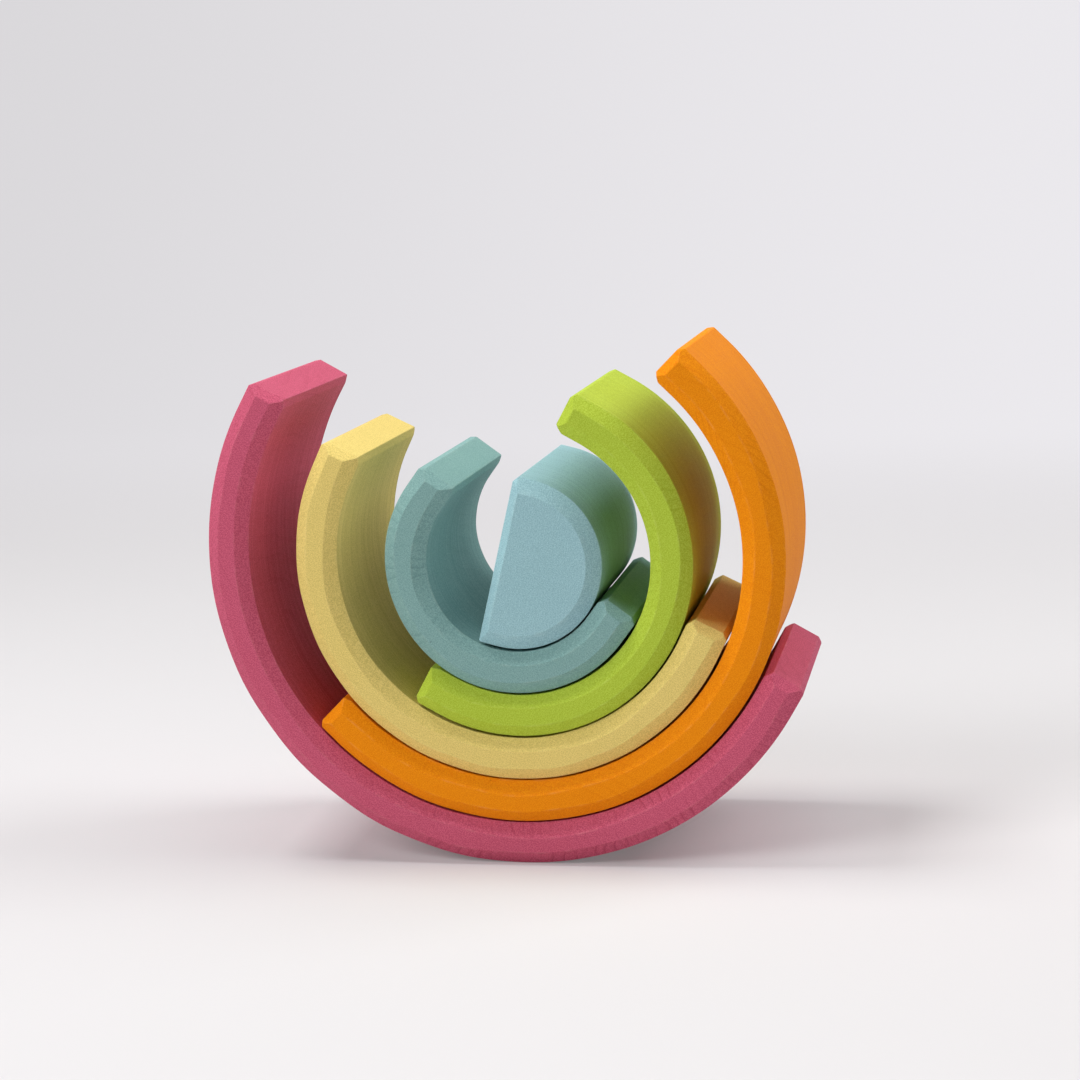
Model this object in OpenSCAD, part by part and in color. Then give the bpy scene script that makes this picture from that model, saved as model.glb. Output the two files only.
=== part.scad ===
// Rainbow stacker: five nested arches and a half-round core, stacked as open cradles.
// Millimetres, Z up, Y away from the viewer. The origin is on the floor, under the middle of the stack.

/* [Block] */
// Radius of the half-round core, which the arches are nested around
core_radius = 23.25; // [18:0.25:32]
// Wall thickness of each arch, across its curve
wall = 11.4; // [9:0.1:14]
// Saw cut between one arch and the next
saw_gap = 0.95; // [0.8:0.05:1.4]
// Depth of the block, from front face to back face
depth = 68; // [45:1:90]
// Straight leg at both ends of each curve
leg = 7; // [4:0.5:8]
// Straight block under the core's half circle
core_leg = 5.5; // [3:0.5:7]

/* [Bevels] */
// Width of the bevel round the outside of an arch, measured across its front and back faces
outer_bevel = 3.3; // [1.5:0.1:4]
// Width of the bevel round the inside of an arch
inner_bevel = 3.4; // [1.5:0.1:4]
// Width of the bevel round the core
core_bevel = 4; // [1.5:0.1:5]
// How far these bevels reach along the depth
bevel_deep = 2.5; // [1:0.1:3.2]
// Width of the bevel on the front and back edges of the leg ends
end_bevel = 2.4; // [1.5:0.1:3.6]
// Long outer edge of a leg end: width of its bevel across the end
outer_edge_width = 1.6; // [0.5:0.1:2.4]
// The same bevel: how far it reaches along the leg
outer_edge_drop = 1.3; // [0.5:0.1:2.4]
// Long inner edge of the left leg end: width of its bevel across the end
left_edge_width = 0.7; // [0.4:0.1:2.4]
// Long inner edge of the right leg end: width of its bevel across the end
right_edge_width = 1.7; // [0.4:0.1:2.4]
// Both inner edges: how far their bevels reach along the leg
inner_edge_drop = 2.3; // [0.5:0.1:3]
// Bevel on the core's lower long edge, which is nearly sharp
core_edge = 0.5; // [0.3:0.1:1.5]

/* [Stack] */
// Gap left where one piece rests in another
seat_gap = 0.45; // [0.3:0.05:0.6]
// Turn of the pink arch: positive lifts its right end
pink_turn = -30; // [-40:0.5:-10]
// Turn of the orange arch
orange_turn = 44.5; // [20:0.5:55]
// Turn of the yellow arch
yellow_turn = -26.5; // [-45:0.5:-5]
// Turn of the green arch
green_turn = 60.5; // [30:0.5:70]
// Turn of the teal arch
teal_turn = -37; // [-50:0.5:-10]
// Turn of the half-round core
core_turn = 75.5; // [60:0.5:85]

/* [Hidden] */
NODES = ["pink_arch", "orange_arch", "yellow_arch", "green_arch", "teal_arch", "blue_core"];
$fn = 96;
turns = [pink_turn, orange_turn, yellow_turn, green_turn, teal_turn, core_turn];
// Each piece is one wall and one saw cut larger than the piece inside it.
pitch = wall + saw_gap;
last = len(NODES) - 1;
half_depth = depth / 2;
// Centre to centre distance of a piece and the cradle that it rests in
slack = saw_gap - seat_gap;

function radius(i) = core_radius + (last - i) * pitch;
// The bevel on a leg end's outer edge takes this much off the corner's height.
function corner_drop(i) = i == last ? core_edge : outer_edge_drop;
// A leg is kept short enough for its outer corner to fit in the next cradle out.
function leg_limit(i) = corner_drop(i) + sqrt(pow(radius(i) + 1.4 * slack, 2) - pow(radius(i), 2));
function leg_of(i) = min(i == last ? core_leg : leg, leg_limit(i));
// The outer corner of a leg lies a little outside the curve, this far round from the end of the curve.
function corner_height(i) = leg_of(i) - corner_drop(i);
function corner_radius(i) = sqrt(pow(radius(i), 2) + pow(corner_height(i), 2));
function corner_lift(i) = atan(corner_height(i) / radius(i));
function left_corner(i) = turns[i] + 180 - corner_lift(i);
function right_corner(i) = turns[i] + 360 + corner_lift(i);
// A corner can only touch where the cradle around it has wall.
function covered(angle, i) = (angle - turns[i - 1] + 540) % 360 <= 180;
// Angle between the resting direction and a corner that keeps the seat gap at both.
function spare(i) = slack - corner_radius(i) + radius(i);
function clear_angle(i) = acos(max(-1, min(1, spare(i) / slack)));
// A piece rests straight down, or to one side when a leg corner touches first.
function left_rest(i) = covered(left_corner(i), i) ? max(270, left_corner(i) + clear_angle(i)) : 270;
function right_rest(i) = right_corner(i) - clear_angle(i);
function rest_angle(i) = covered(right_corner(i), i) ? min(left_rest(i), right_rest(i)) : left_rest(i);
// The stack is centred over the origin from its left side to the pink arch's right end.
right_side = radius(0) * cos(pink_turn) - corner_height(0) * sin(pink_turn);
first_x = (radius(0) - right_side) / 2;
function centre_x(i) = i == 0 ? first_x : centre_x(i - 1) + slack * cos(rest_angle(i));
function centre_z(i) = i == 0 ? radius(0) : centre_z(i - 1) + slack * sin(rest_angle(i));

// Cross-section of an arch's wall, bevelled at all four corners.
module arch_section(inner, outer) {
    polygon([
        [inner + inner_bevel, -half_depth],
        [outer - outer_bevel, -half_depth],
        [outer, -half_depth + bevel_deep],
        [outer, half_depth - bevel_deep],
        [outer - outer_bevel, half_depth],
        [inner + inner_bevel, half_depth],
        [inner, half_depth - bevel_deep],
        [inner, -half_depth + bevel_deep]
    ]);
}

// Cross-section of the core from its middle outwards, bevelled at the two outer corners.
module core_section(outer) {
    polygon([
        [0, -half_depth],
        [outer - core_bevel, -half_depth],
        [outer, -half_depth + bevel_deep],
        [outer, half_depth - bevel_deep],
        [outer - core_bevel, half_depth],
        [0, half_depth]
    ]);
}

// Wedge that bevels the front or back edge of the leg ends, right across the piece.
module end_cut(i, side) {
    mirror([0, 0, side])
        translate([-radius(i) - 1, 0, 0])
            rotate([90, 0, 90])
                linear_extrude(2 * radius(i) + 2)
                    polygon([
                        [leg_of(i) - 2 * end_bevel, half_depth + bevel_deep],
                        [leg_of(i) + end_bevel, half_depth + bevel_deep],
                        [leg_of(i) + end_bevel, half_depth - 2 * bevel_deep]
                    ]);
}

// Wedge that bevels one long edge of a leg end, along the whole depth. way is 1 outside and -1 inside.
module edge_cut(i, at, way, width, drop) {
    translate([0, 0, -half_depth - 1])
        linear_extrude(depth + 2)
            polygon([
                [at + way * width, leg_of(i) - 2 * drop],
                [at + way * width, leg_of(i) + drop],
                [at - 2 * way * width, leg_of(i) + drop]
            ]);
}

// Half ring with two straight legs, lying flat with its opening towards +Y and its right leg at +X.
module flat_arch(i) {
    inner = radius(i) - wall;
    difference() {
        union() {
            rotate([0, 0, 180])
                rotate_extrude(angle = 180)
                    arch_section(inner, radius(i));
            for (flip = [0, 1])
                mirror([flip, 0, 0])
                    rotate([-90, 0, 0])
                        linear_extrude(leg_of(i))
                            arch_section(inner, radius(i));
        }
        end_cut(i, 0);
        end_cut(i, 1);
        for (flip = [0, 1])
            mirror([flip, 0, 0]) {
                edge_cut(i, radius(i), 1, outer_edge_width, outer_edge_drop);
                edge_cut(i, inner, -1, flip == 0 ? right_edge_width : left_edge_width, inner_edge_drop);
            }
    }
}

// Solid half disc with a short straight block under its flat side.
module flat_core(i) {
    difference() {
        union() {
            rotate([0, 0, 180])
                rotate_extrude(angle = 180)
                    core_section(radius(i));
            for (flip = [0, 1])
                mirror([flip, 0, 0])
                    rotate([-90, 0, 0])
                        linear_extrude(leg_of(i))
                            core_section(radius(i));
        }
        end_cut(i, 0);
        end_cut(i, 1);
        edge_cut(i, radius(i), 1, outer_edge_width, outer_edge_drop);
        mirror([1, 0, 0])
            edge_cut(i, radius(i), 1, core_edge, core_edge);
    }
}

// Stands a flat piece up and turns it about the depth axis, resting in its cradle.
module stacked(i) {
    translate([centre_x(i), 0, centre_z(i)])
        rotate([0, -turns[i], 0])
            rotate([90, 0, 0])
                children();
}

module pink_arch() {
    color([0.74, 0.30, 0.41])
        stacked(0)
            flat_arch(0);
}

module orange_arch() {
    color([0.91, 0.52, 0.10])
        stacked(1)
            flat_arch(1);
}

module yellow_arch() {
    color([0.84, 0.76, 0.46])
        stacked(2)
            flat_arch(2);
}

module green_arch() {
    color([0.64, 0.73, 0.24])
        stacked(3)
            flat_arch(3);
}

module teal_arch() {
    color([0.44, 0.60, 0.60])
        stacked(4)
            flat_arch(4);
}

module blue_core() {
    color([0.54, 0.70, 0.75])
        stacked(5)
            flat_core(5);
}

pink_arch();
orange_arch();
yellow_arch();
green_arch();
teal_arch();
blue_core();
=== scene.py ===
# %% [markdown]
# # A rainbow stacker, photographed as a pile of cradles
#
# The toy is one block of pale limewood, sawn along half circles into five arches and a solid
# half-round core. Each piece is bevelled by hand and stained in its own colour. In the photograph
# the arches lie open side up, each one resting in the next, turned left and right in turn.
#
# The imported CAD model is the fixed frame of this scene. It says where each piece sits and which
# body carries it, so every mesh below is worked out in its coordinates, in metres.

import math

import bmesh
import bpy
import numpy as np
from mathutils import Matrix, Vector


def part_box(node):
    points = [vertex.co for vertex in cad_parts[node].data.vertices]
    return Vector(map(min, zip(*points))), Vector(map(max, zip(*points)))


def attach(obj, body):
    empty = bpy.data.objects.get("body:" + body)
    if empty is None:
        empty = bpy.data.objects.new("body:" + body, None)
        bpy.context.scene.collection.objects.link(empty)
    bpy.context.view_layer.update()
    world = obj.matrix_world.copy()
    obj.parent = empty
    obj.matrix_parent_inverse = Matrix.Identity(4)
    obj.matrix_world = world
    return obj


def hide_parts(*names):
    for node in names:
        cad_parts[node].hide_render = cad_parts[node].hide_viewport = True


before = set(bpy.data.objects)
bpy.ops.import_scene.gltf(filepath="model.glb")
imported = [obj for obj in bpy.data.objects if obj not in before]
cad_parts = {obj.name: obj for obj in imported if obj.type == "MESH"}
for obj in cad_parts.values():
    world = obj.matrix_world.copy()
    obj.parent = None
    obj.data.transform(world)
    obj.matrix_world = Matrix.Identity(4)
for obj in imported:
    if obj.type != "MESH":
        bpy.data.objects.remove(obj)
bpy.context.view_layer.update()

# %% [markdown]
# ## Sizes of the block
#
# The maker needs few numbers: the radius of the core, the wall of an arch, the width of the saw
# cut, the depth of the block and the bevels. They repeat the named values of the CAD source. The
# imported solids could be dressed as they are, but their edges are perfectly sharp, and a
# photograph of sanded wood shows edges that are a little soft. So each piece is made again as a
# finer surface of the same size.

# %% Block and bevel sizes
MM = 0.001
CORE_RADIUS = 23.25 * MM
WALL = 11.4 * MM
PITCH = WALL + 0.95 * MM
HALF_DEPTH = 34 * MM
LEG, CORE_LEG = 7 * MM, 5.5 * MM
# Bevels round the front and back faces: width on the face, and reach along the depth.
OUTER_BEVEL, INNER_BEVEL, CORE_BEVEL, BEVEL_DEEP = 3.3 * MM, 3.4 * MM, 4 * MM, 2.5 * MM
END_BEVEL = 2.4 * MM
# Bevels on the long edges of the leg ends: width across the end, and reach along the leg.
OUTER_EDGE = 1.6 * MM, 1.3 * MM
LEFT_INNER_EDGE = 0.7 * MM, 2.3 * MM
RIGHT_INNER_EDGE = 1.7 * MM, 2.3 * MM
CORE_EDGE = 0.5 * MM, 0.5 * MM
# Sandpaper rounds every edge by about this radius.
EDGE_SOFT = 0.3 * MM

TURNS = {"pink": -30, "orange": 44.5, "yellow": -26.5, "green": 60.5, "teal": -37, "blue": 75.5}
NAMES = list(TURNS)
RADII = {name: CORE_RADIUS + (len(NAMES) - 1 - i) * PITCH for i, name in enumerate(NAMES)}
NODES = {name: name + ("_core" if name == "blue" else "_arch") for name in NAMES}
print({name: round(r / MM, 2) for name, r in RADII.items()})

# %% [markdown]
# ## Where each piece sits
#
# A piece that leans left reaches its half circle's leftmost point, and one that leans right its
# rightmost point. With the lowest point, that is enough to read the centre of the half circle
# from the box of the CAD node, so no place is typed in twice.


# %% Centres read from the frame
def seat(name):
    """Centre of a piece's half circle: one radius in from its side, one radius up from its bottom."""
    low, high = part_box(NODES[name])
    radius = RADII[name]
    x = low.x + radius if TURNS[name] < 0 else high.x - radius
    return np.array([x, low.z + radius])


SEATS = {name: seat(name) for name in NAMES}
print({name: np.round(c / MM, 2).tolist() for name, c in SEATS.items()})

# %% [markdown]
# ## The bevelled ends
#
# Each leg ends in a flat face whose four edges are bevelled: wide bevels at the front and back,
# narrow ones along the two long sides. Seen from the side, such a bevel is a straight slope that
# starts at some height and stops at the end face. Both of its corners are sanded round. A bevel
# modifier could round them, but worked out as a formula the rounding stays the same width
# everywhere, and the grid lines run along it.


# %% Slope of a bevel near a leg's end
def bevel_inset(place, start, stop, slope, soft):
    """How far a side has moved in at a place: zero up to the start, then a straight slope.

    The first corner is a parabola, as long as twice the softness. The last one is an arc of the
    edge radius that ends level with the face at the stop.
    """
    past = place - start
    eased = (past + soft) ** 2 / (4 * soft)
    line = slope * np.where(past <= -soft, 0, np.where(past >= soft, past, eased))
    tilt = math.atan(slope)
    middle = stop - EDGE_SOFT
    swing = np.arcsin(np.clip((place - middle) / EDGE_SOFT, 0, 1))
    arc = slope * (middle - start) + EDGE_SOFT * (1 / math.cos(tilt) - np.cos(swing))
    return np.where(swing >= tilt, arc, line)


def front_inset(height):
    """The front and back faces move in along the wide end bevel."""
    return bevel_inset(height, LEG - END_BEVEL, LEG, BEVEL_DEEP / END_BEVEL, EDGE_SOFT)


def edge_inset(height, edge):
    """A curved side moves in along the bevel of its long edge, given as width and reach."""
    width, reach = edge
    return bevel_inset(height, LEG - reach, LEG, width / reach, EDGE_SOFT)


FEET = LEG - END_BEVEL, LEG - OUTER_EDGE[1]
LEG_HEIGHTS = np.sort(np.concatenate([
    np.linspace(0, FEET[0] - 1.6 * EDGE_SOFT, 5),
    *(foot + EDGE_SOFT * np.linspace(-1.3, 1.3, 8) for foot in FEET),
    LEG - EDGE_SOFT + EDGE_SOFT * np.sin(np.radians(np.linspace(12, 90, 8))),
]))
# The last rings of a leg carry the mark for paler edges: worn stain and a painted highlight.
LEG_WEAR_AND_HIGHLIGHT = np.where(LEG_HEIGHTS > LEG - 0.6 * EDGE_SOFT, 1.0, 0.0)
print(len(LEG_HEIGHTS), "rings on each leg, insets at the end",
      np.round([front_inset(LEG) / MM, edge_inset(LEG, OUTER_EDGE) / MM], 2))

# %% [markdown]
# ## The cross-section of an arch
#
# Cut across, an arch is an upright rectangle, 11.4 mm thick and 68 mm deep, with its four corners
# bevelled, a little wider inside than outside. To round the edges of such a shape, shrink it by the
# edge radius and then grow it again: flat sides come back where they were, and corners come back as
# arcs. That also works where a bevel grows thinner and vanishes, as it does at the end of a leg.
#
# A bevel cut by hand strays by a few tenths of a millimetre, so each of the four gets a slow wander.

# %% Rounded corner of the section
ARC_STEPS = 4


def stack_xy(x, y):
    """Two arrays of coordinates, broadcast together, as one array of points."""
    return np.stack(np.broadcast_arrays(x, y), axis=-1)


def between(first, second, shares):
    """Points on the straight lines from first to second, at the given shares of the way."""
    shares = np.asarray(shares)[None, :, None]
    return first[:, None] * (1 - shares) + second[:, None] * shares


def corner_points(front_in, side_in, stray, bevel):
    """Rounded bevel at the outer back corner of the section, for every ring at once.

    The shrunk section has two corners there: one on the flat face, one on the side. Each grows
    back as an arc around it, from the face's direction to the bevel's and on to the side's.
    """
    lean = math.atan2(BEVEL_DEEP, bevel)
    way = np.array([math.sin(lean), math.cos(lean)])
    flat_arc = np.linspace(0, lean, ARC_STEPS + 1)
    side_arc = np.linspace(lean, math.pi / 2, ARC_STEPS + 1)
    wide = WALL / 2 - side_in - EDGE_SOFT
    deep = HALF_DEPTH - front_in - EDGE_SOFT
    reach = way @ np.array([WALL / 2, HALF_DEPTH - BEVEL_DEEP]) + stray - EDGE_SOFT
    flat_x = np.minimum(wide, (reach - way[1] * deep) / way[0])
    side_y = np.minimum(deep, (reach - way[0] * wide) / way[1])
    on_flat = stack_xy(flat_x[:, None] + EDGE_SOFT * np.sin(flat_arc),
                       deep[:, None] + EDGE_SOFT * np.cos(flat_arc))
    on_side = stack_xy(wide[:, None] + EDGE_SOFT * np.sin(side_arc),
                       side_y[:, None] + EDGE_SOFT * np.cos(side_arc))
    slope = between(on_flat[:, -1], on_side[:, 0], [0.12, 0.5, 0.88])
    return np.concatenate([on_flat, slope, on_side], axis=1)


inner_lean = math.degrees(math.atan2(BEVEL_DEEP, INNER_BEVEL))
print("inner bevels lean", round(inner_lean, 1), "degrees from the face")

# %% Half of the section, and the whole loop
FACE_SHARES = np.array([0.0, 0.45, 0.88])
SIDE_SHARES = np.concatenate([[0.008], np.linspace(0.03, 0.97, 27), [0.992]])
# Points on the rounded corners carry the same mark for paler edges: worn stain and a painted highlight.
CORNER_WEAR_AND_HIGHLIGHT = np.array([1.0] * 5 + [0, 0, 0] + [1.0] * 5)
HALF_WEAR_AND_HIGHLIGHT = np.concatenate([[0, 0, 0], CORNER_WEAR_AND_HIGHLIGHT, [0] * len(SIDE_SHARES), CORNER_WEAR_AND_HIGHLIGHT, [0, 0, 0]])
HALF_SAWN = np.concatenate([[0] * 15, [1] * (len(SIDE_SHARES) + 2), [0] * 15])
HALF_BEVEL = np.concatenate([[0] * 7, [1] * 5, [0] * (len(SIDE_SHARES) + 8), [1] * 5, [0] * 7])


def half_section(front_in, side_in, stray_back, stray_front, bevel):
    """From the middle of the back face, round one side, to the middle of the front face."""
    back = corner_points(front_in, side_in, stray_back, bevel)
    front = corner_points(front_in, side_in, stray_front, bevel)[:, ::-1] * [1, -1]
    middle = stack_xy(0 * front_in, HALF_DEPTH - front_in)
    face = between(middle, back[:, 0], FACE_SHARES)
    side = between(back[:, -1], front[:, 0], SIDE_SHARES)
    near = between(front[:, -1], middle * [1, -1], 1 - FACE_SHARES[::-1])
    return np.concatenate([face, back, side, front, near], axis=1)


def full_loop(half, other):
    """Joins a half loop with the mirrored second half; the two middle points are shared."""
    return np.concatenate([half, other[:, -2:0:-1] * [-1, 1]], axis=1)


HALF_COUNT = len(HALF_WEAR_AND_HIGHLIGHT)
LOOP_COUNT = 2 * HALF_COUNT - 2
LOOP_WEAR_AND_HIGHLIGHT, LOOP_SAWN, LOOP_BEVEL = (np.concatenate([half, half[-2:0:-1]])
                                    for half in (HALF_WEAR_AND_HIGHLIGHT, HALF_SAWN, HALF_BEVEL))
print(LOOP_COUNT, "points around the section")


# %% Slow wander of a hand-cut bevel
def wander(along, draw, size):
    """Three sine waves of 20 to 90 mm along the piece, with drawn phases, added up to the size."""
    lengths = draw.uniform(20, 90, 3)[:, None] * MM
    phases = draw.uniform(0, 2 * math.pi, 3)[:, None]
    return size / 3 * np.sin(2 * math.pi * along / lengths + phases).sum(axis=0)


print("sample of wander in mm", np.round(
    wander(np.linspace(0, 0.1, 5), np.random.default_rng(1), 0.3 * MM) / MM, 3))

# %% [markdown]
# ## Carrying the section along the arch
#
# The path is leg, half circle, leg. At every ring the section stands on a spoke of the circle, or
# on a line square to the leg. The ends close by folding: the last ring lies on the end face and
# is drawn in towards a line down its middle, where the two halves of the loop meet in the same
# points. So the skin is one closed grid of four-sided faces without a pole.

# %% Rings along an arch
CAP_SHARES = np.array([0.94, 0.7, 0.4, 0.12])
CAP_RINGS = len(CAP_SHARES) + 1
RING_STEP = 1.35 * MM


def arch_rings(radius):
    """Spoke angle, height above the circle's centre, fold towards the middle and the paler-edge mark (worn
    stain and painted highlight), ring by ring.
    """
    steps = int(radius * math.pi / RING_STEP)
    turn = np.linspace(math.pi, 2 * math.pi, steps)[1:-1]
    heights = np.concatenate([[LEG] * CAP_RINGS, LEG_HEIGHTS[::-1]])
    folds = np.concatenate([[1.0], CAP_SHARES, 0 * LEG_HEIGHTS])
    worn_and_highlit = np.concatenate([[0] * CAP_RINGS, LEG_WEAR_AND_HIGHLIGHT[::-1]])
    angle = np.concatenate([0 * heights + math.pi, turn, 0 * heights + 2 * math.pi])
    height = np.concatenate([heights, 0 * turn, heights[::-1]])
    fold = np.concatenate([folds, 0 * turn, folds[::-1]])
    wear_and_highlight = np.concatenate([worn_and_highlit, 0 * turn, worn_and_highlit[::-1]])
    return angle, height, fold, wear_and_highlight


def path_length(angle, height, radius):
    """Distance of each ring along the middle of the outer side, from the left end."""
    left = np.where(angle <= math.pi, LEG - height, LEG)
    right = np.where(angle >= 2 * math.pi, height, 0)
    return left + radius * (angle - math.pi) + right


angle, height, fold, wear_and_highlight = arch_rings(RADII["pink"])
print(len(angle), "rings on the pink arch,",
      round(path_length(angle, height, RADII["pink"])[-1] / MM, 1), "mm along its outside")


# %% Folding the end rings to a line
def fold_loops(loops, fold):
    """Draws each loop in towards the line between its two halves, by the ring's fold from 0 to 1.

    A point goes to the place on the middle line that is the same share of the way round.
    """
    steps = np.linalg.norm(np.diff(loops[:, :HALF_COUNT], axis=1), axis=-1)
    share = np.concatenate([0 * steps[:, :1], np.cumsum(steps, axis=1)], axis=1)
    share = share / share[:, -1:]
    share = np.concatenate([share, share[:, -2:0:-1]], axis=1)
    reach = loops[:, :1, 1] - WALL / 4
    line = stack_xy(0 * share, reach * (1 - 2 * share))
    return loops + fold[:, None, None] * (line - loops)


print(int((fold > 0).sum()), "rings of the pink arch are drawn in,",
      int((fold == 1).sum()), "of them to a line")

# %% [markdown]
# ## Traces of the saw
#
# A bandsaw that follows a curve by hand leaves broad, shallow hollows that sanding never quite
# removes. They are about a tenth of a millimetre deep, too small to measure on a ruler, but they
# make the saw cuts swell and narrow, and the light slide unevenly over the curved sides. They only
# ever take wood away, so the pieces keep their clearance.


# %% Shallow hollows on the curved sides
def saw_hollow(along, depth, draw):
    """Depth of the hollows: slow waves along the cut times slower ones across the depth."""
    travel = wander(along, draw, 1.0)[:, None]
    across = np.sin(depth / (17 * MM) + draw.uniform(0, 6) + 1.5 * travel)
    return 0.11 * MM * (1 + 0.75 * travel + 0.25 * across)


def arch_surface(name, draw):
    """Points of one arch in its own upright frame and its marks, all as ring by loop grids.

    The marks are paler edges (worn stain and painted highlight), sawn sides, bevels, and the distance
    along the arch.
    """
    radius = RADII[name]
    angle, height, fold, wear_and_highlight = arch_rings(radius)
    along = path_length(angle, height, radius)
    front_in, outer_in = front_inset(height), edge_inset(height, OUTER_EDGE)
    inner_in = np.where(angle < 1.5 * math.pi, edge_inset(height, LEFT_INNER_EDGE),
                        edge_inset(height, RIGHT_INNER_EDGE))
    strays = [wander(along, draw, 0.3 * MM) - 0.05 * MM for _ in range(4)]
    loops = full_loop(half_section(front_in, outer_in, strays[0], strays[1], OUTER_BEVEL),
                      half_section(front_in, inner_in, strays[2], strays[3], INNER_BEVEL))
    loops = fold_loops(loops, fold)
    on_arc = 1 - np.clip(height / LEG, 0, 1)[:, None]
    hollow = saw_hollow(along, loops[..., 1], draw) * LOOP_SAWN * on_arc
    spoke = radius - WALL / 2 + loops[..., 0] - np.sign(loops[..., 0]) * hollow
    points = np.stack([np.cos(angle)[:, None] * spoke, loops[..., 1],
                       np.sin(angle)[:, None] * spoke + height[:, None]], axis=-1)
    marks = {"worn_and_highlit": np.maximum(wear_and_highlight[:, None], LOOP_WEAR_AND_HIGHLIGHT * (fold == 0)[:, None]),
             "sawn": LOOP_SAWN * (outer_in == 0)[:, None],
             "bevelled": LOOP_BEVEL * (fold == 0)[:, None],
             "along": along[:, None]}
    return points, marks


points, marks = arch_surface("pink", np.random.default_rng(11))
print("pink arch grid", points.shape[:2], "half depth", round(np.abs(points[..., 1]).max() / MM, 3))

# %% [markdown]
# ## The core
#
# The core is solid, so there is no arch to carry a section along. Instead its outline, a half
# circle with a short block above it, is carried through the depth and drawn in at the bevels. The
# upper line of the outline, the flat side, has as many points as the lower one, so that the front
# and back faces can be folded shut in the same way as the ends of an arch.

# %% Outline of the core
LEG_STEPS, ROUND_STEPS = 5, 58
FLAT_STEPS = 2 * LEG_STEPS + ROUND_STEPS
CORE_HALF = FLAT_STEPS + 2 * (ARC_STEPS + 1) + 2


def core_side(inset, edge):
    """Right half of the outline, drawn in by each ring's inset: lower line, edge, end of the flat side.

    The half circle and its side shrink by the inset, the flat side by a little less, and the
    bevelled edge stays where it is until the sides pass it.
    """
    width, drop = edge
    way = np.array([drop, width]) / math.hypot(drop, width)
    lean = math.atan2(way[1], way[0])
    wide = CORE_RADIUS - inset - EDGE_SOFT
    tall = CORE_LEG - inset * END_BEVEL / CORE_BEVEL - EDGE_SOFT
    reach = way @ np.array([CORE_RADIUS, CORE_LEG - drop]) - EDGE_SOFT
    flat_x = np.minimum(wide, (reach - way[1] * tall) / way[0])
    side_z = np.minimum(tall, (reach - way[0] * wide) / way[1])
    low_arc = np.linspace(0, lean, ARC_STEPS + 1)
    high_arc = np.linspace(lean, math.pi / 2, ARC_STEPS + 1)[::-1]
    on_side = stack_xy(wide[:, None] + EDGE_SOFT * np.cos(low_arc),
                       side_z[:, None] + EDGE_SOFT * np.sin(low_arc))
    on_flat = stack_xy(flat_x[:, None] + EDGE_SOFT * np.cos(high_arc),
                       tall[:, None] + EDGE_SOFT * np.sin(high_arc))
    middle = (on_side[:, -1:] + on_flat[:, -1:]) / 2
    turn = np.linspace(1.5 * math.pi, 2 * math.pi, ROUND_STEPS // 2 + 1)[1:]
    full = (wide + EDGE_SOFT)[:, None]
    round_part = stack_xy(np.cos(turn) * full, np.sin(turn) * full)
    side = between(round_part[:, -1], on_side[:, 0], np.linspace(0, 1, LEG_STEPS + 2)[1:-1])
    return np.concatenate([round_part, side, on_side, middle], axis=1), on_flat


def core_outline(inset):
    """Lower and upper line of the outline for every ring, drawn in by the ring's inset."""
    right, right_flat = core_side(inset, OUTER_EDGE)
    left, left_flat = (part * [-1, 1] for part in core_side(inset, CORE_EDGE))
    lower = np.concatenate([left[:, ::-1], right], axis=1)
    flat = between(left_flat[:, 0], right_flat[:, 0], np.linspace(0, 1, FLAT_STEPS + 2)[1:-1])
    upper = np.concatenate([left[:, -1:], left_flat[:, ::-1], flat, right_flat, right[:, -1:]], axis=1)
    return lower, upper


lower, upper = core_outline(np.zeros(1))
print("core outline", lower.shape[1], "points below and", upper.shape[1], "above")


# %% Core carried through the depth
BEVEL_START = HALF_DEPTH - BEVEL_DEEP
# The core's wide bevel starts with half the softness of the other edges.
CORE_SOFT = 0.5 * EDGE_SOFT
BODY_RINGS = 14


def core_inset(depth):
    """How far the outline is drawn in at a depth, along the core's wide bevel.

    Close to the front and back faces it is a hair less, which leaves the rim slightly full.
    """
    full_rim = 0.06 * MM * (depth > HALF_DEPTH - 1.2 * MM)
    inset = bevel_inset(depth, BEVEL_START, HALF_DEPTH, CORE_BEVEL / BEVEL_DEEP, CORE_SOFT)
    return np.maximum(inset - full_rim, 0)


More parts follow.
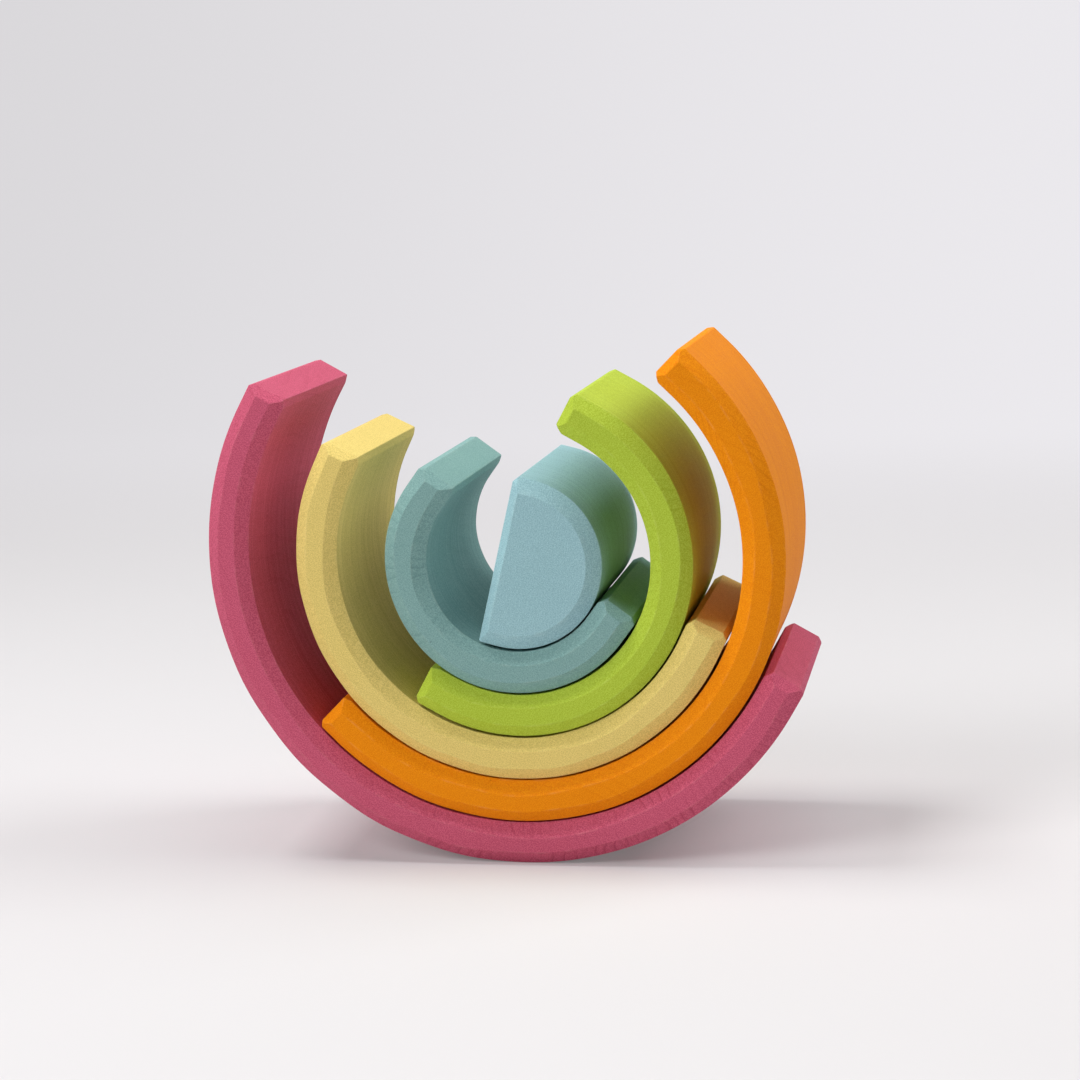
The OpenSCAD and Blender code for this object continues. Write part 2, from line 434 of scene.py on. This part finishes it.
def core_surface():
    """Points of the core in its own upright frame and its marks, as ring by loop grids."""
    rim_arc = np.sin(np.radians(np.linspace(58, 90, 6)))
    inner = np.concatenate([np.linspace(0, BEVEL_START - 2.2 * CORE_SOFT, BODY_RINGS),
                            BEVEL_START + CORE_SOFT * np.linspace(-1, 1, 5),
                            [HALF_DEPTH - 0.9 * MM], HALF_DEPTH - EDGE_SOFT * (1 - rim_arc)])
    worn_and_highlit = np.concatenate([[0] * BODY_RINGS, [0, 1, 1, 1, 0], [0], [1, 1, 1, 1, 1, 0.6]])
    depth = np.concatenate([inner, [HALF_DEPTH] * CAP_RINGS])
    fold = np.concatenate([0 * inner, CAP_SHARES[::-1], [1.0]])
    wear_and_highlight = np.concatenate([worn_and_highlit, [0] * CAP_RINGS])
    depth = np.concatenate([-depth[:0:-1], depth])
    fold, wear_and_highlight = (np.concatenate([v[:0:-1], v]) for v in (fold, wear_and_highlight))
    lower, upper = core_outline(core_inset(np.abs(depth)))
    middle = (lower + upper) / 2
    lower = lower + fold[:, None, None] * (middle - lower)
    upper = upper + fold[:, None, None] * (middle - upper)
    loops = np.concatenate([lower, upper[:, -2:0:-1]], axis=1)
    points = np.stack(np.broadcast_arrays(loops[..., 0], depth[:, None], loops[..., 1]), axis=-1)
    below = np.concatenate([np.ones(CORE_HALF), np.zeros(CORE_HALF - 2)])
    on_edge = np.concatenate([[0], [1] * 5, [0] * FLAT_STEPS, [1] * 5, [0]])
    on_edge = np.concatenate([on_edge, on_edge[-2:0:-1]])
    flat = (np.abs(depth) <= BEVEL_START)[:, None]
    sloped = (np.abs(depth) > BEVEL_START)[:, None] * (fold == 0)[:, None]
    # The edge mark makes the core's edges paler: worn stain and a painted highlight.
    marks = {"worn_and_highlit": np.maximum(wear_and_highlight[:, None], on_edge * flat),
             "sawn": below * flat,
             "bevelled": below * sloped,
             "along": CORE_RADIUS * np.arctan2(loops[..., 1], loops[..., 0])}
    return points, marks


points, marks = core_surface()
print("core grid", points.shape[:2])

# %% [markdown]
# ## From grids to meshes
#
# Every grid has folded first and last rings. A table of vertex numbers takes care of that: on a
# folded ring a point and its partner from the other half get the same number. Four neighbouring
# numbers make a face, and the sign of the enclosed volume tells whether the faces look outwards.


# %% Mesh of a folded grid
def folded_numbers(rings, count):
    """Vertex numbers ring by loop; on the two folded rings both halves share their numbers."""
    half = count // 2 + 1
    across = np.arange(count)
    partner = np.minimum(across, count - across)
    whole = half + np.arange(rings - 2)[:, None] * count + across
    last = half + (rings - 2) * count + partner
    return np.concatenate([partner[None], whole, last[None]])


def grid_faces(numbers):
    """Four-sided faces between neighbouring rings and neighbouring points of the closed loops."""
    after = np.roll(numbers, -1, axis=1)
    quads = np.stack([numbers[:-1], after[:-1], after[1:], numbers[1:]], axis=-1)
    return quads.reshape(-1, 4)


def enclosed_volume(points, faces):
    """Sum of the signed volumes of the pyramids from the origin to each half of each face."""
    a, b, c, d = (points[faces[:, k]] for k in range(4))
    return ((np.cross(a, b) * c).sum() + (np.cross(a, c) * d).sum()) / 6


def pack_grid(grid, numbers):
    """One value per vertex from a ring by loop grid."""
    flat = np.zeros((numbers.max() + 1,) + grid.shape[2:])
    flat[numbers] = grid
    return flat


def merge_points(mesh):
    """Makes one vertex of those that fall together, where a bevel has grown thinner and vanished."""
    shell = bmesh.new()
    shell.from_mesh(mesh)
    bmesh.ops.remove_doubles(shell, verts=shell.verts, dist=0.002 * MM)
    shell.to_mesh(mesh)
    shell.free()
    mesh.update()


def stand_up(points, name):
    """Turns a piece from its own upright frame to its lean in the pile, about its centre."""
    turn = math.radians(TURNS[name])
    x = points[..., 0] * math.cos(turn) - points[..., 2] * math.sin(turn) + SEATS[name][0]
    z = points[..., 0] * math.sin(turn) + points[..., 2] * math.cos(turn) + SEATS[name][1]
    return np.stack([x, points[..., 1], z], axis=-1)


print("a grid of 5 rings and 8 points has", folded_numbers(5, 8).max() + 1, "vertices and",
      len(grid_faces(folded_numbers(5, 8))), "faces")

# %% [markdown]
# ## Small accidents
#
# Two of the corners in the photograph have lost a splinter, on the inner edge of the pink and of
# the yellow left end. A splinter is a shallow dent: points near a place move in along a given
# direction, most in the middle and not at all at the rim.


# %% Chipped corners
def chip(points, place, reach, push):
    """Moves points within reach of a place by the push times a smooth bump, one in the middle."""
    near = np.linalg.norm(points - np.asarray(place), axis=-1) / reach
    bump = np.clip(1 - near ** 2, 0, 1) ** 2
    return points + bump[..., None] * np.asarray(push)


def chips_of(name):
    """Places, reaches and pushes of the chips on a piece, in its own upright frame."""
    inner = RADII[name] - WALL
    front = -HALF_DEPTH + BEVEL_DEEP
    corner = (-inner - 0.9 * MM, front + 0.3 * MM, LEG - 0.9 * MM)
    edge = (-inner - 0.9 * MM, front + 8.5 * MM, LEG - 0.8 * MM)
    sunk = np.array([-0.5, 0.25, -0.5]) * MM
    chips = {"pink": [(corner, 1.3 * MM, sunk)],
             "yellow": [(edge, 1.1 * MM, 0.7 * sunk), (corner, 0.9 * MM, 0.6 * sunk)]}
    return chips.get(name, [])


print("chips", {name: len(chips_of(name)) for name in NAMES})


# %% Build the six pieces
def place_object(label, data):
    """A new object in the scene, at the origin and unturned."""
    made = bpy.data.objects.new(label, data)
    bpy.context.scene.collection.objects.link(made)
    return made


def make_piece(name, seed):
    """Mesh object of one piece, in the frame's coordinates, with its marks as attributes."""
    draw = np.random.default_rng(seed)
    points, marks = core_surface() if name == "blue" else arch_surface(name, draw)
    for place, reach, push in chips_of(name):
        points = chip(points, place, reach, push)
    numbers = folded_numbers(*points.shape[:2])
    verts = pack_grid(stand_up(points, name), numbers)
    faces = grid_faces(numbers)
    volume = enclosed_volume(verts, faces)
    faces = faces if volume > 0 else faces[:, ::-1]
    mesh = bpy.data.meshes.new("stained_" + NODES[name])
    mesh.from_pydata(verts.tolist(), [], faces.tolist())
    mesh.polygons.foreach_set("use_smooth", np.ones(len(faces), dtype=bool))
    for label, grid in marks.items():
        values = pack_grid(np.broadcast_to(grid, points.shape[:2]), numbers)
        mesh.attributes.new(label, "FLOAT", "POINT").data.foreach_set("value", values.astype(np.float32))
    merge_points(mesh)
    piece = place_object(mesh.name, mesh)
    print(piece.name, len(mesh.polygons), "faces,", round(abs(volume) * 1e9), "mm3")
    return piece


PIECES = {name: make_piece(name, 11 + i) for i, name in enumerate(NAMES)}

# %% [markdown]
# ## Riding on the bodies
#
# Each new piece stands for one CAD node. It rides on that node's body, so when the joint swings,
# the dressed arch swings with it.

# %% Hand the pieces to the frame
for name, piece in PIECES.items():
    body = "core" if name == "blue" else name
    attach(piece, body)
    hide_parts(NODES[name])
    low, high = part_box(NODES[name])
    mine = np.array([v.co for v in piece.data.vertices])
    off = np.concatenate([mine.min(0) - np.array(low), mine.max(0) - np.array(high)]) / MM
    print(piece.name, "box differs from the CAD node by", np.round(off, 2).tolist(), "mm")

# %% [markdown]
# ## Writing shader maths as maths
#
# A stain is a sum of many faint patterns, and a tree of Math nodes is hard to read. The class
# below wraps a socket. Adding or multiplying two of them makes the Math node behind the scenes,
# so a pattern can be written as a formula. All other nodes come from one method.


# %% Socket arithmetic
class Stain:
    """A socket in a material's node tree that can be used in formulas."""

    def __init__(self, tree, socket=None):
        self.tree, self.socket = tree, socket

    def node(self, kind, settings=None, sockets=None, out=0):
        """Adds a node: its settings first, then values or links for its sockets."""
        made = self.tree.nodes.new(kind)
        for label, value in (settings or {}).items():
            setattr(made, label, value)
        for label, value in (sockets or {}).items():
            if isinstance(value, Stain):
                self.tree.links.new(value.socket, made.inputs[label])
            else:
                made.inputs[label].default_value = value
        return Stain(self.tree, made.outputs[out] if len(made.outputs) else None)

    def maths(self, operation, first, second):
        """A Math node on two values."""
        return self.node("ShaderNodeMath", {"operation": operation}, {0: first, 1: second})

    def __add__(self, other):
        return self.maths("ADD", self, other)

    def __sub__(self, other):
        return self.maths("SUBTRACT", self, other)

    def __rsub__(self, other):
        return self.maths("SUBTRACT", other, self)

    def __mul__(self, other):
        return self.maths("MULTIPLY", self, other)

    def __mod__(self, other):
        return self.maths("MODULO", self, other)

    def __pow__(self, other):
        return self.maths("POWER", self, other)

    __radd__, __rmul__ = __add__, __mul__

    def ramp(self, low, high):
        """Zero below low, one above high, a smooth step between."""
        return self.node("ShaderNodeMapRange", {"interpolation_type": "SMOOTHSTEP"},
                         {"Value": self, "From Min": low, "From Max": high})

    def noise(self, stretch, detail=2.0, roughness=0.5):
        """Noise of this vector, stretched by three frequencies in waves per metre."""
        scaled = self.node("ShaderNodeVectorMath", {"operation": "MULTIPLY"}, {0: self, 1: stretch})
        return self.node("ShaderNodeTexNoise", {"noise_dimensions": "3D"},
                         {"Vector": scaled, "Scale": 1.0, "Detail": detail, "Roughness": roughness})

    def mix(self, share, first, second):
        """Mixes two colours by a share from 0 to 1."""
        return self.node("ShaderNodeMix", {"data_type": "RGBA", "clamp_factor": True},
                         {0: share, 6: first, 7: second}, out=2)

    def blend(self, other, share):
        """Mixes this colour with another one by a share from 0 to 1."""
        return self.mix(share, self, other)

    def mark(self, label):
        """A value that the mesh carries as an attribute."""
        return self.node("ShaderNodeAttribute", {"attribute_name": label}, out="Fac")

    def axis(self, letter):
        """The X, Y or Z part of this vector."""
        return self.node("ShaderNodeSeparateXYZ", {}, {"Vector": self}, out=letter)


def fresh_material(label):
    """A new material with an empty node tree, and the wrapper that adds nodes to it."""
    material = bpy.data.materials.new(label)
    material.use_nodes = True
    material.node_tree.nodes.clear()
    return material, Stain(material.node_tree)


def linear(red, green, blue):
    """A colour read off a screen, 0 to 255, as the linear numbers that Blender works in."""
    seen = np.array([red, green, blue]) / 255
    return (*np.where(seen <= 0.04045, seen / 12.92, ((seen + 0.055) / 1.055) ** 2.4).tolist(), 1.0)


print("mid grey", [round(v, 3) for v in linear(128, 128, 128)])

# %% [markdown]
# ## Stained limewood
#
# Limewood is chosen for toys because it is pale and has almost no figure. What shows through a
# thin water stain is slight: a fine felt of pores that drink more colour, soft blotches, and here
# and there the line of a growth ring. The curved sides also keep fine lines from the sanding
# belt, which runs round the curve, so those lines sit at constant depth. On some bevels the cutter
# chattered, and left faint ticks across the bevel a few millimetres apart. The edges are paler in
# patches: partly because sanded edges hold less stain, partly as a painted highlight along the
# rounded edges.
#
# Most patterns are worked out in the block's own directions. A Mapping node turns the coordinates
# back by the lean of the piece, so the rings lie the way they did in the uncut block. The ticks
# are counted off along the arch, with the distance that the mesh carries as an attribute.

# %% Colours and grain of each piece
# Ticks are strength, step in mm, slant over the bevel, and the stretch of the arch where they show,
# in mm from its left end.
STAINS = {
    "pink": {"deep": (186, 77, 101), "pale": (215, 103, 131), "ring": (0.55, 0.10, 0.83), "figure": 0.3,
             "ticks": (0.9, 3.0, 0.3, 150, 276)},
    "orange": {"deep": (234, 128, 9), "pale": (249, 155, 22), "ring": (0.90, 0.30, 0.30), "figure": 0.4,
               "ticks": (0.9, 4.2, 2.8, 190, 240)},
    "yellow": {"deep": (214, 190, 105), "pale": (242, 217, 133), "ring": (0.25, 0.40, 0.88), "figure": 0.2,
               "ticks": (0.3, 3.0, 0.5, 20, 90)},
    "green": {"deep": (165, 187, 53), "pale": (190, 212, 78), "ring": (0.30, 0.35, 0.89), "figure": 0.2,
              "ticks": (0.4, 3.0, 0.5, 80, 140)},
    "teal": {"deep": (117, 155, 152), "pale": (144, 182, 178), "ring": (0.12, 0.20, 0.97), "figure": 0.2,
             "ticks": (0.8, 3.4, 0.1, 4, 62)},
    "blue": {"deep": (141, 180, 188), "pale": (168, 207, 213), "ring": (0.35, 0.30, 0.88), "figure": 0.15,
             "ticks": (0.1, 3.0, 0.0, 10, 40)},
}


BARE_LIMEWOOD = linear(240, 222, 196)
RING_WIDTH = 2.6 * MM


def block_coordinates(start, name):
    """Object coordinates turned back by the piece's lean, with the arch's centre as their origin."""
    turn = math.radians(TURNS[name])
    x, z = SEATS[name]
    back = (-x * math.cos(turn) - z * math.sin(turn), 0, x * math.sin(turn) - z * math.cos(turn))
    place = start.node("ShaderNodeTexCoord", out="Object")
    return start.node("ShaderNodeMapping", {"vector_type": "POINT"},
                      {"Vector": place, "Location": back, "Rotation": (0, turn, 0)})


def growth_rings(block, direction):
    """Dark late-wood lines: distance along one direction, bent by slow noise, in 2.6 mm steps.

    The remainder of the division climbs from 0 to 1 through each year's ring, and a high power
    leaves only the thin dark line at its end.
    """
    unit = np.array(direction) / np.linalg.norm(direction)
    along = block.node("ShaderNodeVectorMath", {"operation": "DOT_PRODUCT"},
                       {0: block, 1: unit.tolist()}, out="Value")
    bent = along + 0.006 * block.noise((22, 22, 22), 2.0) + 0.0006 * block.noise((300, 60, 300), 1.0)
    year = (bent * (1 / RING_WIDTH) + 100.0) % 1.0
    return year ** 7.0


def chatter(start, block, strength, step, slant, first, last):
    """Thin ticks across the bevels, a step apart, fading in and out over a stretch of the arch."""
    along = start.mark("along")
    shaken = 1.6 * block.noise((120, 120, 120), 1.0)
    uneven = (along + slant * block.axis("Y")) * (1 / (step * MM)) + shaken + 100.0
    stretch = along.ramp(first * MM, (first + 12) * MM) * (1 - along.ramp((last - 12) * MM, last * MM))
    patches = block.noise((90, 90, 90), 1.0).ramp(0.36, 0.60)
    return strength * start.mark("bevelled") * (uneven % 1.0) ** 7.0 * stretch * patches


def stained_wood(name):
    """Principled material of one stained piece."""
    look = STAINS[name]
    material, start = fresh_material(name + "_stained_limewood")
    block = block_coordinates(start, name)
    worn_and_highlit, sawn = start.mark("worn_and_highlit"), start.mark("sawn")
    blotch = block.noise((40, 30, 40), 3.0)
    fibre = block.noise((420, 3000, 3000), 1.0)
    pores = block.noise((3400, 3000, 3400), 1.0)
    belt = block.noise((12, 900, 12), 3.0, 0.7)
    rings = growth_rings(block, look["ring"]) * block.noise((35, 35, 35), 1.0).ramp(0.45, 0.66)
    ticks = chatter(start, block, *look["ticks"])
    flecks = block.noise((760, 760, 760), 1.0).ramp(0.80, 0.84)
    tone = 0.5 + 0.35 * (blotch - 0.5) + 3.2 * (pores - 0.5) + 0.7 * (fibre - 0.5)
    tone = tone + sawn * 1.9 * (belt - 0.5) - look["figure"] * rings - ticks
    deep, pale = linear(*look["deep"]), linear(*look["pale"])
    colour = start.mix(tone, deep, pale)
    dark = (*(0.5 * v for v in deep[:3]), 1.0)
    bare_and_highlight = tuple(0.7 * v + 0.3 * w for v, w in zip(pale, BARE_LIMEWOOD))
    colour = colour.blend(dark, 0.4 * flecks + 0.16 * ticks)
    # Edges go paler in patches: partly stain rubbed thin, partly a painted highlight on the rounded edges.
    rubbed_and_highlit = worn_and_highlit * block.noise((260, 260, 260), 2.0).ramp(0.40, 0.75)
    colour = colour.blend(bare_and_highlight, 0.16 * rubbed_and_highlit)
    roughness = 0.55 + 0.2 * pores + 0.06 * blotch - 0.05 * rubbed_and_highlit
    relief = pores * 0.6 + fibre * 0.35 + sawn * belt * 0.9 - rings * 0.3 - ticks * 0.6 - flecks
    gloss = tuple(0.65 * v + 0.35 for v in pale)
    normal = start.node("ShaderNodeBump", {}, {"Strength": 0.45, "Distance": 0.00012, "Height": relief})
    shader = start.node("ShaderNodeBsdfPrincipled", {},
                        {"Base Color": colour, "Roughness": roughness, "Normal": normal,
                         "Specular IOR Level": 0.14, "Specular Tint": gloss})
    start.node("ShaderNodeOutputMaterial", {}, {"Surface": shader})
    return material


for name, piece in PIECES.items():
    piece.data.materials.append(stained_wood(name))
    print(piece.name, "wears", piece.data.materials[0].name)

# %% [markdown]
# ## A plain sweep
#
# The photograph was taken on a paper sweep: a floor that bends up into a wall far behind the toy.
# It is a straight line, a quarter circle and another straight line, carried sideways.

# %% Floor and wall in one sheet
SWEEP_BACK, SWEEP_BEND, SWEEP_TALL, SWEEP_FRONT, SWEEP_SIDE = 0.9, 0.5, 2.2, 1.6, 2.6


def sweep_sheet():
    """Floor, bend and wall as one profile in depth and height, carried from left to right."""
    bend = np.linspace(0, math.pi / 2, 25)
    depth = np.concatenate([[-SWEEP_FRONT], SWEEP_BACK + SWEEP_BEND * np.sin(bend),
                            [SWEEP_BACK + SWEEP_BEND]])
    height = np.concatenate([[0], SWEEP_BEND * (1 - np.cos(bend)), [SWEEP_TALL]])
    side = np.linspace(-SWEEP_SIDE, SWEEP_SIDE, 9)
    return np.stack(np.broadcast_arrays(side[:, None], depth, height), axis=-1)


sheet = sweep_sheet()
index = np.arange(sheet[..., 0].size).reshape(sheet.shape[:2])
quads = np.stack([index[:-1, :-1], index[1:, :-1], index[1:, 1:], index[:-1, 1:]], axis=-1).reshape(-1, 4)
paper_mesh = bpy.data.meshes.new("paper_sweep")
paper_mesh.from_pydata(sheet.reshape(-1, 3).tolist(), [], quads.tolist())
paper_mesh.polygons.foreach_set("use_smooth", np.ones(len(quads), dtype=bool))
paper_sweep = place_object("paper_sweep", paper_mesh)
print("sweep of", len(quads), "faces")


# %% Paper
def paper():
    """Matte off-white paper, mixed with a tone of its own wherever it is seen directly.

    The share of that tone is small on the floor, so that the shadow stays, and large on the wall. On the
    wall the tone is painted light: darker on the left, lighter towards the right where light comes from.
    """
    material, start = fresh_material("pale_paper")
    place = start.node("ShaderNodeTexCoord", out="Object")
    cloud = place.noise((3, 3, 3), 2.0)
    colour = start.mix(cloud, (0.685, 0.67, 0.677, 1), (0.715, 0.70, 0.707, 1))
    matte = start.node("ShaderNodeBsdfPrincipled", {},
                       {"Base Color": colour, "Roughness": 0.9, "Specular IOR Level": 0.1})
    across, far = place.axis("X").ramp(-0.8, 0.25), place.axis("Y").ramp(0.1, 0.9)
    # Painted light on the wall: its tone goes from darker on the left to lighter on the right.
    wall = start.mix(across, linear(224, 222, 225), linear(241, 239, 243))
    tone = start.node("ShaderNodeEmission", {},
                      {"Color": start.mix(far, linear(229, 226, 227), wall), "Strength": 1.0})
    seen = (start.node("ShaderNodeLightPath", out="Is Camera Ray")
            + start.node("ShaderNodeLightPath", out="Is Glossy Ray")
            + start.node("ShaderNodeLightPath", out="Is Transmission Ray")).ramp(0.0, 1.0)
    mixed = start.node("ShaderNodeMixShader", {}, {0: seen * (0.2 + 0.68 * far), 1: matte, 2: tone})
    start.node("ShaderNodeOutputMaterial", {}, {"Surface": mixed})
    return material


paper_mesh.materials.append(paper())
print("paper on the sweep")

# %% [markdown]
# ## Light
#
# The key lamp hangs above the toy, a little to the left, as the short shadow to the right shows. A
# softer one stands at the front left, like a window: it makes the bevels that face left pale and
# those that face right dark. One overhead and one at the right light the ends, the upper sides and
# the inner walls, and a small one low in front does what a white table does, it lights the bevels
# that face down.


# %% Lamps and room
TOY_MIDDLE = Vector((0, 0, 0.08))


def soft_lamp(label, place, size, power, aim=TOY_MIDDLE):
    """A square area lamp at a place, turned to its aim. Metres and watts."""
    data = bpy.data.lights.new(label, "AREA")
    data.shape, data.size, data.energy = "SQUARE", size, power
    lamp = place_object(label, data)
    way = aim - Vector(place)
    lamp.matrix_world = Matrix.Translation(place) @ way.to_track_quat("-Z", "Y").to_matrix().to_4x4()
    return lamp


soft_lamp("key_above", (-0.47, 0.0, 1.25), 0.42, 9)
soft_lamp("window_front_left", (-0.75, -0.80, 0.9), 0.6, 9.2)
soft_lamp("overhead", (0.18, 0.02, 1.4), 0.8, 4.5)
soft_lamp("rim_right", (0.70, 0.2, 0.85), 0.6, 5.4)
soft_lamp("table_card", (0.08, -0.42, 0.03), 0.3, 0.27, aim=Vector((0, 0, 0.05)))
world = bpy.data.worlds.new("pale_room")
bpy.context.scene.world = world
world.use_nodes = True
room = world.node_tree.nodes["Background"]
room.inputs["Color"].default_value = (0.97, 0.98, 1.0, 1)
room.inputs["Strength"].default_value = 0.02
print("five lamps and a dim, even room")

# %% [markdown]
# ## Camera
#
# The camera stands to the right of the middle and a little above the toy, with a long lens. The
# pile only balances when it is turned 2.4 degrees clockwise from how the photograph shows it, so
# the camera is rolled by the same angle.

# %% Camera at the photograph's angle
EYE = Vector((135.2, -648.4, 197.9)) * MM
AIM = Vector((5.42, 0.0, 83.87)) * MM
ROLL = math.radians(2.4)
lens = bpy.data.cameras.new("portrait_lens")
lens.sensor_width, lens.lens = 36.0, 80.0
lens.clip_start, lens.clip_end = 0.01, 20.0
camera = place_object("portrait_camera", lens)
back = (EYE - AIM).normalized()
right = Vector((math.sin(ROLL), 0, math.cos(ROLL))).cross(back).normalized()
turned = Matrix((right, back.cross(right), back)).transposed()
camera.matrix_world = Matrix.Translation(EYE) @ turned.to_4x4()
bpy.context.scene.camera = camera
print("camera", round((EYE - AIM).length / MM), "mm from its aim")

# %% Picture settings
bpy.context.scene.view_settings.view_transform = "Standard"
